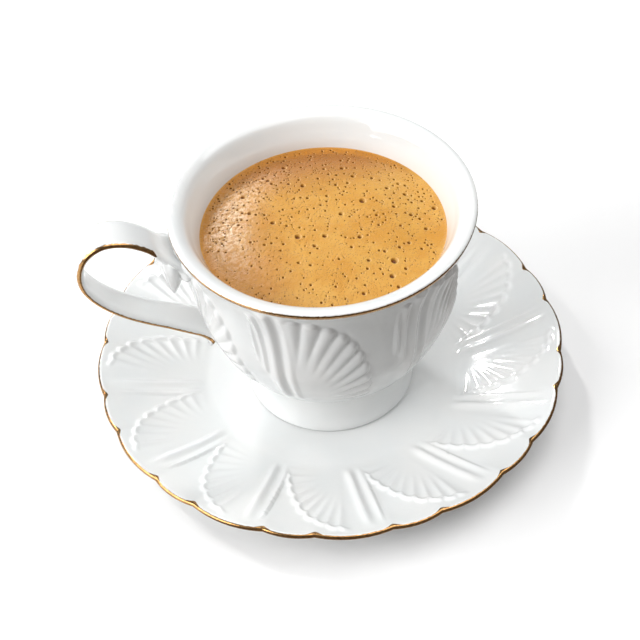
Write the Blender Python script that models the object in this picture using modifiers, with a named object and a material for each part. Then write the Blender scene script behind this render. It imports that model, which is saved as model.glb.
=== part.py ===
"""Relief-moulded porcelain tea cup, filled, standing on its saucer.

Metres, +Z up. The origin is on the table, on the axis that cup and saucer share.
The handle points along +X.
"""

import math

import bmesh
import bpy
import numpy as np
from mathutils import Matrix

MM = 0.001
GAP = 0.3 * MM

# saucer
SAUCER_STEPS = 180
SAUCER_RELIEF_RINGS = 16
SAUCER_LAST_RELIEF_RING = SAUCER_RELIEF_RINGS + 2
SAUCER_RADIUS = 75.3 * MM
SAUCER_RIM_Z = 16.0 * MM
SAUCER_WELL_RADIUS = 40.0 * MM
SAUCER_WELL_Z = 4.2 * MM
SAUCER_FLANGE_POWER = 1.4
SAUCER_FOOT_OUTER = 43.2 * MM
SAUCER_FOOT_INNER = 40.2 * MM
SAUCER_RECESS_Z = 1.2 * MM
NOTCH_DEPTH = 1.1 * MM
WIDE_LOBE = math.radians(18.0)
NARROW_LOBE = math.radians(12.0)
SAUCER_SHARE = 0.42

# cup
CUP_STEPS = 120
CUP_RELIEF_RINGS = 19
CUP_FOOT_Z = SAUCER_WELL_Z + GAP
CUP_FOOT_RADIUS = 27.0 * MM
CUP_FOOT_INNER = 23.4 * MM
CUP_SHARE = 0.52

# drink
TEA_STEPS = 48
TEA_LEVEL = 68.3 * MM
TEA_GAP = 0.4 * MM

# handle
STRAP_HALF_WIDTH = 5.5 * MM
STRAP_HALF_THICKNESS = 1.6 * MM
STRAP_FLARE = 1.35
STRAP_POINTS = 28

# relief: a shell fan beside a long ridge, repeated round cup and saucer
CUP_MOTIFS = 6
CUP_HINGE_ANGLE = math.radians(60.0)
CUP_HINGE_Z = 28.0 * MM
CUP_FAN_WIDTH = 25.5 * MM
CUP_FAN_HEIGHT = 47.0 * MM
CUP_FAN_LOBES = 10
CUP_RELIEF = 1.15 * MM

SAUCER_MOTIFS = 12
SAUCER_HINGE_ANGLE = math.radians(81.0)
SAUCER_HINGE_RADIUS = 43.0 * MM
SAUCER_FAN_WIDTH = 19.3 * MM
SAUCER_FAN_HEIGHT = 30.0 * MM
SAUCER_FAN_LOBES = 9
SAUCER_RELIEF = 0.9 * MM


def clear_scene():
    for item in list(bpy.data.objects):
        bpy.data.objects.remove(item, do_unlink=True)


def new_collection(name):
    group = bpy.data.collections.new(name)
    bpy.context.scene.collection.children.link(group)
    return group


def principled(name, colour, roughness, metallic=0.0):
    material = bpy.data.materials.new(name)
    material.use_nodes = True
    shader = material.node_tree.nodes["Principled BSDF"]
    shader.inputs["Base Color"].default_value = (*colour, 1.0)
    shader.inputs["Roughness"].default_value = roughness
    shader.inputs["Metallic"].default_value = metallic
    return material


def ramp(value, low, high):
    """Smooth step from 0 at low to 1 at high."""
    t = np.clip((value - low) / (high - low), 0.0, 1.0)
    return t * t * (3.0 - 2.0 * t)


def bell(value, centre, width):
    return np.exp(-((value - centre) / width) ** 2)


def wrap(angle, period):
    """Angle brought into half a period either side of zero."""
    return (angle + period / 2.0) % period - period / 2.0


# relief

def fan_coordinates(across, along, width, height, lobes, power, scallop):
    """Lobe phase, distance inside the scalloped edge and reach from the hinge."""
    x = np.maximum(across, 0.0) / width
    y = np.maximum(along, 0.0) / height
    reach = (x ** power + y ** power) ** (1.0 / power)
    turn = np.arctan2(x, y)
    table = np.linspace(0.0, math.pi / 2.0, 91)
    step = np.hypot(width * np.cos(table), height * np.sin(table))
    length = np.concatenate(([0.0], np.cumsum((step[1:] + step[:-1]) / 2.0)))
    phase = np.interp(turn, table, length / length[-1]) * lobes
    inside_lobe = 2.0 * (phase - np.floor(phase)) - 1.0
    bulge = np.sqrt(np.maximum(1.0 - inside_lobe ** 2, 0.0))
    edge = 1.0 - scallop * (1.0 - bulge)
    distance = (edge - reach) * np.hypot(across, along) / np.maximum(reach, 0.05)
    return inside_lobe, distance, reach


def cup_relief(angle, z):
    """Height of the cup's relief over its plain wall."""
    period = 2.0 * math.pi / CUP_MOTIFS
    around = wrap(angle - CUP_HINGE_ANGLE - period / 4.0, period) + period / 4.0
    across = around * 40.0 * MM
    along = z - CUP_HINGE_Z
    lobe, distance, reach = fan_coordinates(
        across, along, CUP_FAN_WIDTH, CUP_FAN_HEIGHT, CUP_FAN_LOBES, 2.25, 0.06)
    valley = 0.8 * ramp(reach, 0.42, 0.84)
    petal = (1.0 - valley * lobe ** 2) * (0.3 + 0.7 * np.clip(reach, 0.0, 1.0) ** 1.3)
    end = np.sqrt(np.clip(distance / (1.5 * MM), 0.0, 1.0))
    side = ramp(across, -0.6 * MM, 0.8 * MM)
    fan = petal * end * side
    lean = along / CUP_FAN_HEIGHT
    crest = (-3.4 - 0.4 * lean) * MM
    ridge_1 = bell(across, crest, np.where(across < crest, 2.4, 1.35) * MM)
    ridge_2 = 0.75 * bell(across, 0.9 * MM, 1.7 * MM)
    fingers = np.zeros_like(across)
    for rank in range(3):
        foot = -7.0 - 1.7 * rank
        centre = (foot - (1.3 + 2.1 * rank) * np.maximum(lean, 0.0) ** 2.2) * MM
        tip = CUP_FAN_HEIGHT * (0.98 - 0.06 * rank)
        start = CUP_FAN_HEIGHT * (0.25 + 0.13 * rank)
        span = ramp(along, start, start + 9.0 * MM) * (1.0 - ramp(along, tip - 3.0 * MM, tip))
        fingers = np.maximum(fingers, 0.75 * bell(across, centre, 1.25 * MM) * span)
    height = np.maximum(np.maximum(fan, ridge_1), np.maximum(ridge_2, fingers))
    fade = ramp(z, 25.0 * MM, 35.0 * MM) * (1.0 - ramp(z, 74.2 * MM, 76.4 * MM))
    return CUP_RELIEF * height * fade


def saucer_relief(angle, radius):
    """Height of the saucer's relief over its plain flange."""
    period = 2.0 * math.pi / SAUCER_MOTIFS
    around = wrap(SAUCER_HINGE_ANGLE - angle - period / 4.0, period) + period / 4.0
    across = around * radius
    along = radius - SAUCER_HINGE_RADIUS
    lobe, distance, reach = fan_coordinates(
        across, along, SAUCER_FAN_WIDTH, SAUCER_FAN_HEIGHT, SAUCER_FAN_LOBES, 2.35, 0.075)
    cord = bell(distance, 1.1 * MM, 1.0 * MM)
    inside = ramp(distance, 0.6 * MM, 2.2 * MM)
    rib = 0.6 * ramp(reach, 0.35, 0.85) * np.abs(lobe) ** 1.7
    ribs = (0.28 + rib) * np.clip(reach, 0.0, 1.0) * inside
    side = ramp(across, 0.5 * MM, 3.0 * MM)
    fan = np.maximum(cord, ribs) * side
    slope = along / SAUCER_FAN_HEIGHT
    ridge_1 = bell(across, (-1.0 - 4.2 * slope) * MM, 1.3 * MM)
    ridge_2 = 0.75 * bell(across, (-4.6 - 5.6 * slope) * MM, 1.4 * MM)
    ridges = np.maximum(ridge_1, ridge_2) * (1.0 - ramp(radius, 64.0 * MM, 73.4 * MM))
    height = np.maximum(fan, ridges)
    fade = ramp(radius, 41.0 * MM, 47.0 * MM) * (1.0 - ramp(radius, 70.8 * MM, 73.6 * MM))
    return SAUCER_RELIEF * height * fade


def rim_scallop(angle):
    """How far the saucer's edge is drawn in at an angle: two lobes to each motif."""
    period = WIDE_LOBE + NARROW_LOBE
    along = np.mod(angle, period)
    narrow = along < NARROW_LOBE
    half = np.where(narrow, NARROW_LOBE, WIDE_LOBE) / 2.0
    centre = np.where(narrow, NARROW_LOBE / 2.0, NARROW_LOBE + WIDE_LOBE / 2.0)
    offset = np.abs(along - centre) / half
    reach = np.where(narrow, 0.75, 1.0) * (1.0 - offset ** 2)
    return NOTCH_DEPTH * (1.0 - reach)


# profiles, from the axis on top, down the outer side, to the axis below

def flange_z(radius):
    t = np.clip((radius - SAUCER_WELL_RADIUS) / (SAUCER_RADIUS - SAUCER_WELL_RADIUS), 0.0, 1.0)
    return SAUCER_WELL_Z + (SAUCER_RIM_Z - SAUCER_WELL_Z) * t ** SAUCER_FLANGE_POWER


def saucer_profile():
    points = [(0.0, SAUCER_WELL_Z), (30.0 * MM, SAUCER_WELL_Z)]
    last = SAUCER_RADIUS - 0.9 * MM
    for index in range(SAUCER_RELIEF_RINGS + 1):
        radius = SAUCER_WELL_RADIUS + (last - SAUCER_WELL_RADIUS) * index / SAUCER_RELIEF_RINGS
        points.append((radius, float(flange_z(radius))))
    edge_z = points[-1][1]
    points.append((SAUCER_RADIUS - 0.25 * MM, edge_z - 0.25 * MM))
    points.append((SAUCER_RADIUS, edge_z - 0.95 * MM))
    points.append((SAUCER_RADIUS - 0.35 * MM, edge_z - 1.7 * MM))
    for radius, thickness in ((72.0, 2.3), (66.0, 2.7), (58.0, 3.0), (50.0, 3.2)):
        points.append((radius * MM, float(flange_z(radius * MM)) - thickness * MM))
    points.append((SAUCER_FOOT_OUTER + 0.9 * MM, 1.7 * MM))
    points.append((SAUCER_FOOT_OUTER, 0.0))
    points.append((SAUCER_FOOT_INNER, 0.0))
    points.append((SAUCER_FOOT_INNER - 0.8 * MM, SAUCER_RECESS_Z))
    points.append((20.0 * MM, SAUCER_RECESS_Z))
    points.append((0.0, SAUCER_RECESS_Z))
    return points


# inner wall of the cup, radius and height from the drink's edge to the bottom
CUP_INSIDE = ((36.9, 68.3), (36.6, 56.0), (34.9, 42.0), (30.5, 31.0), (21.0, 23.8), (0.0, 21.6))
CUP_LIP = ((38.6, 72.4), (40.9, 76.5), (43.0, 77.9), (44.7, 78.2))
CUP_FLARE = ((45.7, 77.7), (45.1, 75.4))
CUP_STEM = ((31.6, 24.6), (28.2, 21.8), (26.1, 19.8), (25.5, 16.0), (25.8, 9.5))


def wall_radius(z):
    """Plain outer wall of the bowl, in metres, between its stem and its flare."""
    heights = np.array([25.0, 30.0, 36.0, 40.0, 44.0, 49.0, 54.0, 59.0, 64.0, 68.0, 72.0, 75.0])
    radii = np.array([32.0, 34.5, 36.8, 38.2, 39.3, 39.9, 40.2, 40.7, 41.5, 42.5, 43.8, 44.9])
    return np.interp(z / MM, heights, radii) * MM


def cup_profile():
    points = [(radius * MM, z * MM) for radius, z in reversed(CUP_INSIDE)]
    points += [(radius * MM, z * MM) for radius, z in CUP_LIP]
    points += [(radius * MM, z * MM) for radius, z in CUP_FLARE]
    for index in range(CUP_RELIEF_RINGS):
        z = (73.2 - (73.2 - 27.0) * index / (CUP_RELIEF_RINGS - 1)) * MM
        points.append((float(wall_radius(z)), z))
    points += [(radius * MM, z * MM) for radius, z in CUP_STEM]
    points.append((CUP_FOOT_RADIUS, CUP_FOOT_Z + 0.9 * MM))
    points.append((CUP_FOOT_RADIUS - 0.4 * MM, CUP_FOOT_Z))
    points.append((CUP_FOOT_INNER + 0.4 * MM, CUP_FOOT_Z))
    points.append((CUP_FOOT_INNER, CUP_FOOT_Z + 0.6 * MM))
    points.append((22.0 * MM, 13.0 * MM))
    points.append((18.5 * MM, 16.8 * MM))
    points.append((0.0, 17.6 * MM))
    return points


def tea_profile():
    points = [(0.0, TEA_LEVEL)]
    for radius, z in CUP_INSIDE[:-1]:
        points.append((radius * MM - TEA_GAP, z * MM + TEA_GAP * (1.0 - radius / 36.9)))
    points.append((0.0, CUP_INSIDE[-1][1] * MM + TEA_GAP))
    return points


# shapes

def turned(name, points, steps, collection):
    """A closed body turned about Z from its profile."""
    mesh = bpy.data.meshes.new(name + "_profile")
    edges = [(index, index + 1) for index in range(len(points) - 1)]
    mesh.from_pydata([(radius, 0.0, z) for radius, z in points], edges, [])
    item = bpy.data.objects.new(name, mesh)
    collection.objects.link(item)
    screw = item.modifiers.new("Screw", "SCREW")
    screw.axis = "Z"
    screw.angle = 2.0 * math.pi
    screw.steps = steps
    screw.render_steps = steps
    screw.use_merge_vertices = True
    screw.merge_threshold = 0.00001
    screw.use_smooth_shade = True
    return item


def make_mesh(item):
    """Replace an object's data by its evaluated mesh, modifiers applied."""
    bpy.context.view_layer.update()
    graph = bpy.context.evaluated_depsgraph_get()
    mesh = bpy.data.meshes.new_from_object(item.evaluated_get(graph))
    mesh.name = item.name + "_mesh"
    if item.type == "CURVE":
        solid = bpy.data.objects.new(item.name, mesh)
        solid.matrix_world = item.matrix_world
        for collection in list(item.users_collection):
            collection.objects.link(solid)
        bpy.data.objects.remove(item, do_unlink=True)
        bm = bmesh.new()
        bm.from_mesh(mesh)
        bmesh.ops.remove_doubles(bm, verts=bm.verts, dist=0.000001)
        bmesh.ops.recalc_face_normals(bm, faces=bm.faces)
        bm.to_mesh(mesh)
        bm.free()
        return solid
    item.modifiers.clear()
    item.data = mesh
    return item


def vertex_array(mesh):
    flat = np.empty(len(mesh.vertices) * 3)
    mesh.vertices.foreach_get("co", flat)
    return flat.reshape(-1, 3)


def set_vertices(mesh, points):
    mesh.vertices.foreach_set("co", points.ravel())
    mesh.update()


def normal_array(mesh):
    flat = np.empty(len(mesh.vertices) * 3)
    mesh.vertex_normals.foreach_get("vector", flat)
    return flat.reshape(-1, 3)


def ring_numbers(item, profile):
    """The profile point that each vertex of a turned mesh comes from."""
    points = vertex_array(item.data)
    section = np.stack((np.hypot(points[:, 0], points[:, 1]), points[:, 2]), axis=1)
    gaps = section[:, None, :] - np.array(profile)[None, :, :]
    return np.argmin((gaps ** 2).sum(axis=2), axis=1)


def coarsen(item, rings, plain, steps, factor):
    """Weld the vertices of plain rings together in runs, so that they have fewer steps."""
    bm = bmesh.new()
    bm.from_mesh(item.data)
    bm.verts.ensure_lookup_table()
    lookup = {}
    for vertex in bm.verts:
        turn = math.atan2(vertex.co.y, vertex.co.x) / (2.0 * math.pi) * steps
        lookup[(int(rings[vertex.index]), round(turn) % steps)] = vertex
    moves = {}
    for (ring, step), vertex in lookup.items():
        if ring in plain and step % factor:
            moves[vertex] = lookup[(ring, step - step % factor)]
    bmesh.ops.weld_verts(bm, targetmap=moves)
    bm.to_mesh(item.data)
    bm.free()


def thin_out(item, chosen, share):
    """Collapse the chosen vertices' part of a mesh to a share of its faces."""
    group = item.vertex_groups.new(name="relief")
    group.add([int(index) for index in np.flatnonzero(chosen)], 1.0, "REPLACE")
    counts = [len(face.vertices) - 2 for face in item.data.polygons]
    inside = [all(chosen[index] for index in face.vertices) for face in item.data.polygons]
    freed = sum(count for count, free in zip(counts, inside) if free)
    reduce = item.modifiers.new("Decimate", "DECIMATE")
    reduce.decimate_type = "COLLAPSE"
    reduce.vertex_group = group.name
    reduce.vertex_group_factor = 1.0
    reduce.ratio = 1.0 - freed * (1.0 - share) / sum(counts)
    make_mesh(item)
    item.vertex_groups.clear()


def settle(item, levels):
    """Put the vertices of flat rings back on their exact heights."""
    points = vertex_array(item.data)
    for level in levels:
        near = np.abs(points[:, 2] - level) < 0.06 * MM
        points[near, 2] = level
    set_vertices(item.data, points)


def make_saucer(collection):
    profile = saucer_profile()
    saucer = make_mesh(turned("saucer", profile, SAUCER_STEPS, collection))
    rings = ring_numbers(saucer, profile)
    last = len(profile) - 1
    coarsen(saucer, rings, set(range(SAUCER_LAST_RELIEF_RING + 4, last)), SAUCER_STEPS, 2)
    coarsen(saucer, ring_numbers(saucer, profile), {1}, SAUCER_STEPS, 6)
    points = vertex_array(saucer.data)
    radius = np.hypot(points[:, 0], points[:, 1])
    angle = np.arctan2(points[:, 1], points[:, 0])
    top = points[:, 2] > flange_z(radius) - 0.4 * MM
    top &= radius > SAUCER_WELL_RADIUS - 1.0 * MM
    points[:, 2] += np.where(top, saucer_relief(angle, radius), 0.0)
    drawn_in = rim_scallop(angle) * ramp(radius, 62.0 * MM, 74.0 * MM)
    scale = 1.0 - drawn_in / np.maximum(radius, 1.0 * MM)
    points[:, 0] *= scale
    points[:, 1] *= scale
    set_vertices(saucer.data, points)
    thin_out(saucer, top & (radius < 73.5 * MM), SAUCER_SHARE)
    settle(saucer, (0.0, SAUCER_WELL_Z, SAUCER_RECESS_Z))
    return saucer


def handle_line(count):
    """Points along the strap's middle, from inside the wall at the top to inside it below."""
    knots = ((41.8, 67.4), (48.2, 73.0), (53.6, 78.4), (59.2, 81.6), (65.2, 82.2), (70.4, 79.0),
             (72.9, 73.2), (72.5, 67.0), (69.0, 60.4), (63.2, 54.2), (56.2, 48.9), (49.4, 44.8),
             (43.4, 41.2), (37.6, 37.4))
    line = []
    for index in range(count):
        place = index / (count - 1) * (len(knots) - 1)
        start = min(int(place), len(knots) - 2)
        t = place - start
        before = knots[max(start - 1, 0)]
        after = knots[min(start + 2, len(knots) - 1)]
        pair = []
        for axis in range(2):
            a, b, c, d = before[axis], knots[start][axis], knots[start + 1][axis], after[axis]
            value = 0.5 * (2.0 * b + (c - a) * t + (2.0 * a - 5.0 * b + 4.0 * c - d) * t * t
                           + (3.0 * b - a - 3.0 * c + d) * t ** 3)
            pair.append(value * MM)
        line.append(pair)
    return line


def swept(name, line, radii, collection):
    """A capped round tube along points in the XZ plane, with a radius at each point."""
    curve = bpy.data.curves.new(name, "CURVE")
    curve.dimensions = "3D"
    curve.bevel_mode = "ROUND"
    curve.bevel_depth = 1.0 * MM
    curve.bevel_resolution = 4
    curve.use_fill_caps = True
    spline = curve.splines.new("POLY")
    spline.points.add(len(line) - 1)
    for point, (x, z), radius in zip(spline.points, line, radii):
        point.co = (x, 0.0, z, 1.0)
        point.radius = radius / MM
    item = bpy.data.objects.new(name, curve)
    collection.objects.link(item)
    return make_mesh(item)


def widen(item, half_width):
    """Stretch a tube sideways so that it becomes a flat strap with rounded edges."""
    points = vertex_array(item.data)
    reach = np.array([half_width(x, z) for x, z in points[:, (0, 2)]])
    share = points[:, 1] / reach[:, 1]
    points[:, 1] = np.sign(share) * np.abs(share) ** 0.8 * reach[:, 0]
    set_vertices(item.data, points)


def strap_width(x, z):
    """Half width and half thickness of the strap: it flares where it meets the cup."""
    near = ramp(np.float64(x), 53.0 * MM, 43.0 * MM) if x < 53.0 * MM else 0.0
    flare = 1.0 + (STRAP_FLARE - 1.0) * float(near) * (1.0 if z > 60.0 * MM else 0.35)
    return STRAP_HALF_WIDTH * flare, STRAP_HALF_THICKNESS


# leaf tip under the strap's upper end: x, z, half thickness, half width
LEAF = ((45.6, 73.6, 2.6, 7.4), (46.2, 71.6, 3.4, 7.9), (46.2, 69.0, 3.8, 7.7),
        (46.0, 65.8, 3.6, 6.6), (46.2, 62.4, 2.9, 5.0), (46.4, 59.2, 2.1, 3.4),
        (46.6, 56.6, 1.3, 2.0), (46.7, 54.6, 0.5, 0.8))


def leaf_width(x, z):
    heights = [row[1] for row in reversed(LEAF)]
    width = np.interp(z / MM, heights, [row[3] for row in reversed(LEAF)])
    thick = np.interp(z / MM, heights, [row[2] for row in reversed(LEAF)])
    return width * MM, thick * MM


def unite(item, other):
    union = item.modifiers.new("Union", "BOOLEAN")
    union.operation = "UNION"
    union.solver = "EXACT"
    union.object = other
    make_mesh(item)


def make_cup(collection, helpers):
    profile = cup_profile()
    cup = make_mesh(turned("cup", profile, CUP_STEPS, collection))
    first = len(CUP_INSIDE) + len(CUP_LIP) + len(CUP_FLARE)
    below = set(range(first + CUP_RELIEF_RINGS + 1, len(profile) - 1))
    hidden = set(range(1, len(CUP_INSIDE) - 1))
    coarsen(cup, ring_numbers(cup, profile), hidden | below, CUP_STEPS, 2)
    points = vertex_array(cup.data)
    radius = np.hypot(points[:, 0], points[:, 1])
    angle = np.arctan2(points[:, 1], points[:, 0])
    outside = radius > wall_radius(points[:, 2]) - 0.5 * MM
    outside &= points[:, 2] > 24.0 * MM
    height = np.where(outside, cup_relief(angle, points[:, 2]), 0.0)
    points += normal_array(cup.data) * height[:, None]
    set_vertices(cup.data, points)
    thin_out(cup, outside & (points[:, 2] < 74.5 * MM) & (points[:, 2] > 26.0 * MM), CUP_SHARE)
    settle(cup, (CUP_FOOT_Z,))

    line = handle_line(STRAP_POINTS)
    strap = swept("strap", line, [STRAP_HALF_THICKNESS] * len(line), helpers)
    widen(strap, strap_width)
    leaf = swept("leaf", [(row[0] * MM, row[1] * MM) for row in LEAF],
                 [row[2] * MM for row in LEAF], helpers)
    widen(leaf, leaf_width)
    points = vertex_array(leaf.data)
    middle = np.array(line[:6])
    limit = np.interp(points[:, 0], middle[:, 0], middle[:, 1]) + 0.4 * MM
    points[:, 2] = np.minimum(points[:, 2], limit)
    set_vertices(leaf.data, points)
    unite(strap, leaf)
    unite(cup, strap)
    for item in (strap, leaf):
        item.hide_render = True
        item.display_type = "WIRE"
    return cup


def make_tea(collection):
    return make_mesh(turned("tea", tea_profile(), TEA_STEPS, collection))


def main():
    clear_scene()
    parts = new_collection("tea_cup_on_saucer")
    helpers = new_collection("cutters")
    porcelain = principled("porcelain", (0.88, 0.88, 0.87), 0.12)
    saucer_glaze = principled("saucer_porcelain", (0.86, 0.87, 0.87), 0.14)
    drink = principled("milk_tea", (0.50, 0.22, 0.06), 0.35)
    saucer = make_saucer(parts)
    cup = make_cup(parts, helpers)
    tea = make_tea(parts)
    for item, material in ((saucer, saucer_glaze), (cup, porcelain), (tea, drink)):
        item.data.materials.clear()
        item.data.materials.append(material)
        item.data.shade_smooth()
        item.matrix_world = Matrix.Identity(4)


main()
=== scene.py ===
"""Relief-moulded porcelain cup of milk tea on its saucer.

Metres, +Z up. The origin is on the table, on the axis that cup and saucer share.
The handle points along +X.
"""

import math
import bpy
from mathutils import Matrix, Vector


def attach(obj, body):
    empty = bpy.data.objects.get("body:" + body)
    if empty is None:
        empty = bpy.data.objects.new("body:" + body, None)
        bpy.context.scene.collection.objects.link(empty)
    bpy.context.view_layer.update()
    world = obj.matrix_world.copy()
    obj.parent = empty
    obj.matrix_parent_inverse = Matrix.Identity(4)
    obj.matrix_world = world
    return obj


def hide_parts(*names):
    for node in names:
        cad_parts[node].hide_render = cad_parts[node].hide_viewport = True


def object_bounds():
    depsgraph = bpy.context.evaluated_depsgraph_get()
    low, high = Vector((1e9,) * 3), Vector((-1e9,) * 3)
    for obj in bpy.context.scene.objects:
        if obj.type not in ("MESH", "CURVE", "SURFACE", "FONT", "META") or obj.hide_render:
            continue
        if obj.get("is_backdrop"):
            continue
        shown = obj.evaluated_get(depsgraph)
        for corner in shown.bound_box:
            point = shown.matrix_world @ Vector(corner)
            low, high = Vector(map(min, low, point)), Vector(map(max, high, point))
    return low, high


bl_info = {
    "name": "Relief porcelain tea cup",
    "version": (1, 0, 0),
    "blender": (4, 5, 0),
    "location": "3D View > Sidebar > Tea Cup",
    "description": "Makes a gilded relief porcelain cup of milk tea on its saucer",
    "category": "Add Mesh",
}

import bmesh
import bpy
import numpy as np
from bpy.props import FloatProperty, FloatVectorProperty, IntProperty, PointerProperty
from mathutils import Matrix, Vector

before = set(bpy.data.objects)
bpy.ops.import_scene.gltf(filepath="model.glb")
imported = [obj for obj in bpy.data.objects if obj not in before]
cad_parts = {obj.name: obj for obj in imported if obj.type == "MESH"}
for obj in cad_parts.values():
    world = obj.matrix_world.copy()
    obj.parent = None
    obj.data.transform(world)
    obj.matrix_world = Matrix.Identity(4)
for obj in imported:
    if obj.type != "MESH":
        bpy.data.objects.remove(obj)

MM = 0.001

# saucer
SAUCER_RADIUS = 75.3
SAUCER_RIM_Z = 16.0
SAUCER_WELL_RADIUS = 40.0
SAUCER_WELL_Z = 4.2
SAUCER_FLANGE_POWER = 1.4
NOTCH_DEPTH = 1.1
WIDE_LOBE = math.radians(18.0)
NARROW_LOBE = math.radians(12.0)
SAUCER_MOTIFS = 12
SAUCER_HINGE_ANGLE = math.radians(81.0)
SAUCER_HINGE_RADIUS = 43.0
SAUCER_FAN_WIDTH = 19.3
SAUCER_FAN_HEIGHT = 30.0
SAUCER_FAN_LOBES = 9

# cup: radius and height of points on its section
CUP_INSIDE = ((0.0, 21.6), (21.0, 23.8), (30.5, 31.0), (34.9, 42.0), (36.6, 56.0), (36.9, 68.3),
              (38.6, 72.4), (40.9, 76.5), (43.0, 77.9), (44.7, 78.2), (45.7, 77.7), (45.1, 75.4))
CUP_WALL = ((44.9, 75.0), (43.8, 72.0), (42.5, 68.0), (41.5, 64.0), (40.7, 59.0), (40.2, 54.0),
            (39.9, 49.0), (39.3, 44.0), (38.2, 40.0), (36.8, 36.0), (34.5, 30.0), (32.0, 25.0))
CUP_STEM = ((31.6, 24.6), (28.2, 21.8), (26.1, 19.8), (25.5, 16.0), (25.8, 9.5), (27.0, 5.4))
CUP_FOOT = ((27.0, 5.4, 0.5), (26.8, 4.5, 0.4), (23.6, 4.5, 0.4), (23.3, 5.4, 0.5),
            (22.0, 13.0, 3.0), (18.5, 16.8, 3.0), (0.0, 17.6, 0.0))
CUP_MOTIFS = 6
CUP_HINGE_ANGLE = math.radians(60.0)
CUP_HINGE_Z = 28.0
CUP_FAN_WIDTH = 25.5
CUP_FAN_HEIGHT = 47.0
CUP_FAN_LOBES = 10
CUP_GILT = (45.7, 77.0)

# handle: middle line of the strap, distance from the axis and height
STRAP_KNOTS = ((41.8, 67.4), (48.2, 73.0), (53.6, 78.4), (59.2, 81.6), (65.2, 82.2), (70.4, 79.0),
               (72.9, 73.2), (72.5, 67.0), (69.0, 60.4), (63.2, 54.2), (56.2, 48.9), (49.4, 44.8),
               (43.4, 41.2), (37.6, 37.4))
# leaf tip under the strap's upper end: x, z, half thickness, half width
LEAF = ((45.6, 73.6, 2.6, 7.4), (46.2, 71.6, 3.4, 7.9), (46.2, 69.0, 3.8, 7.7),
        (46.0, 65.8, 3.6, 6.6), (46.2, 62.4, 2.9, 5.0), (46.4, 59.2, 2.1, 3.4),
        (46.6, 56.6, 1.3, 2.0), (46.7, 54.6, 0.5, 0.8))

# drink
TEA_RADIUS = 37.2
TEA_SIDE = ((37.1, 66.0), (36.8, 56.0), (35.1, 42.0), (30.7, 31.0), (21.0, 24.0), (0.0, 21.9))
# larger bubbles: x, y, radius
BUBBLES = (
    (-13.9, -6.0, 1.01), (20.1, -19.2, 0.86), (-16.2, 20.7, 1.1), (1.7, -17.8, 0.72),
    (19.9, -10.7, 0.71), (8.4, 3.6, 0.95), (14.2, -4.4, 0.74), (-6.3, -2.3, 0.73),
    (-14.0, 26.0, 0.81), (11.2, -24.1, 0.69), (-14.1, -17.8, 0.68), (0.7, 5.5, 0.79),
    (-9.1, 8.9, 0.79), (12.4, -25.9, 0.61), (-27.3, -6.1, 0.72), (-12.0, -22.8, 0.74),
    (-22.4, -1.0, 0.66), (-34.3, 1.2, 0.86), (-26.4, 3.4, 0.67), (-22.7, -9.8, 0.64),
    (-26.7, -11.5, 0.59), (-19.2, 16.0, 0.58), (4.6, 8.7, 0.66), (-19.6, -15.6, 0.59),
    (-4.4, 30.2, 0.63), (-18.7, 24.0, 0.58), (-16.4, 1.3, 0.55), (-9.0, 19.0, 0.59),
    (-31.6, -2.4, 0.57), (10.5, -22.0, 0.57), (-29.2, 9.7, 0.67), (-8.1, -15.3, 0.54),
    (-28.6, 5.4, 0.58), (15.8, -8.6, 0.48), (-22.4, 14.7, 0.59), (-14.5, 16.7, 0.58),
    (5.0, -29.0, 0.81), (10.8, 14.2, 0.5), (-15.8, 5.6, 0.5), (1.6, -12.1, 0.54),
    (18.6, 4.0, 0.52), (-12.8, -27.4, 0.51), (22.3, 1.6, 0.5), (-5.7, 12.3, 0.54),
    (-11.8, -15.1, 0.54), (-6.5, -24.0, 0.53), (13.2, 5.3, 0.5), (-7.8, 22.0, 0.52),
    (-4.2, -11.3, 0.51), (5.6, -20.0, 0.54), (-28.6, -10.4, 0.53), (7.7, 16.1, 0.5),
    (8.6, -26.2, 0.43), (-9.5, -19.7, 0.44), (-18.5, 1.4, 0.45), (10.5, -2.0, 0.49),
    (21.9, -11.8, 0.48), (-22.0, 7.5, 0.5), (-25.5, 17.4, 0.52), (-27.7, 16.3, 0.47),
    (22.8, -8.9, 0.49), (-14.8, 30.0, 0.6), (24.1, -7.0, 0.45), (-29.6, 0.7, 0.46))


# numbers

def ramp(value, low, high):
    """Smooth step from 0 at low to 1 at high."""
    t = np.clip((value - low) / (high - low), 0.0, 1.0)
    return t * t * (3.0 - 2.0 * t)


def bell(value, centre, width):
    """1 at centre, falling away smoothly to 1/e at width from it."""
    return np.exp(-((value - centre) / width) ** 2)


def wrap(angle, period):
    """Angle brought into half a period either side of zero."""
    return (angle + period / 2.0) % period - period / 2.0


def smooth_line(knots, spacing):
    """Points at an even spacing along a smooth curve through the knots."""
    knots = np.array(knots, float)
    gaps = np.linalg.norm(np.diff(knots[:, :2], axis=0), axis=1)
    at = np.concatenate(([0.0], np.cumsum(np.sqrt(gaps))))
    slopes = np.gradient(knots, at, axis=0)
    fine = np.linspace(0.0, at[-1], 60 * len(knots))
    index = np.clip(np.searchsorted(at, fine, side="right") - 1, 0, len(knots) - 2)
    span = (at[index + 1] - at[index])[:, None]
    t = ((fine - at[index]) / span[:, 0])[:, None]
    line = ((2 * t ** 3 - 3 * t ** 2 + 1) * knots[index]
            + (t ** 3 - 2 * t ** 2 + t) * span * slopes[index]
            + (3 * t ** 2 - 2 * t ** 3) * knots[index + 1]
            + (t ** 3 - t ** 2) * span * slopes[index + 1])
    steps = np.linalg.norm(np.diff(line[:, :2], axis=0), axis=1)
    length = np.concatenate(([0.0], np.cumsum(steps)))
    places = np.linspace(0.0, length[-1], max(int(round(length[-1] / spacing)), 2) + 1)
    return np.stack([np.interp(places, length, line[:, k]) for k in range(line.shape[1])], axis=1)


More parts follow.
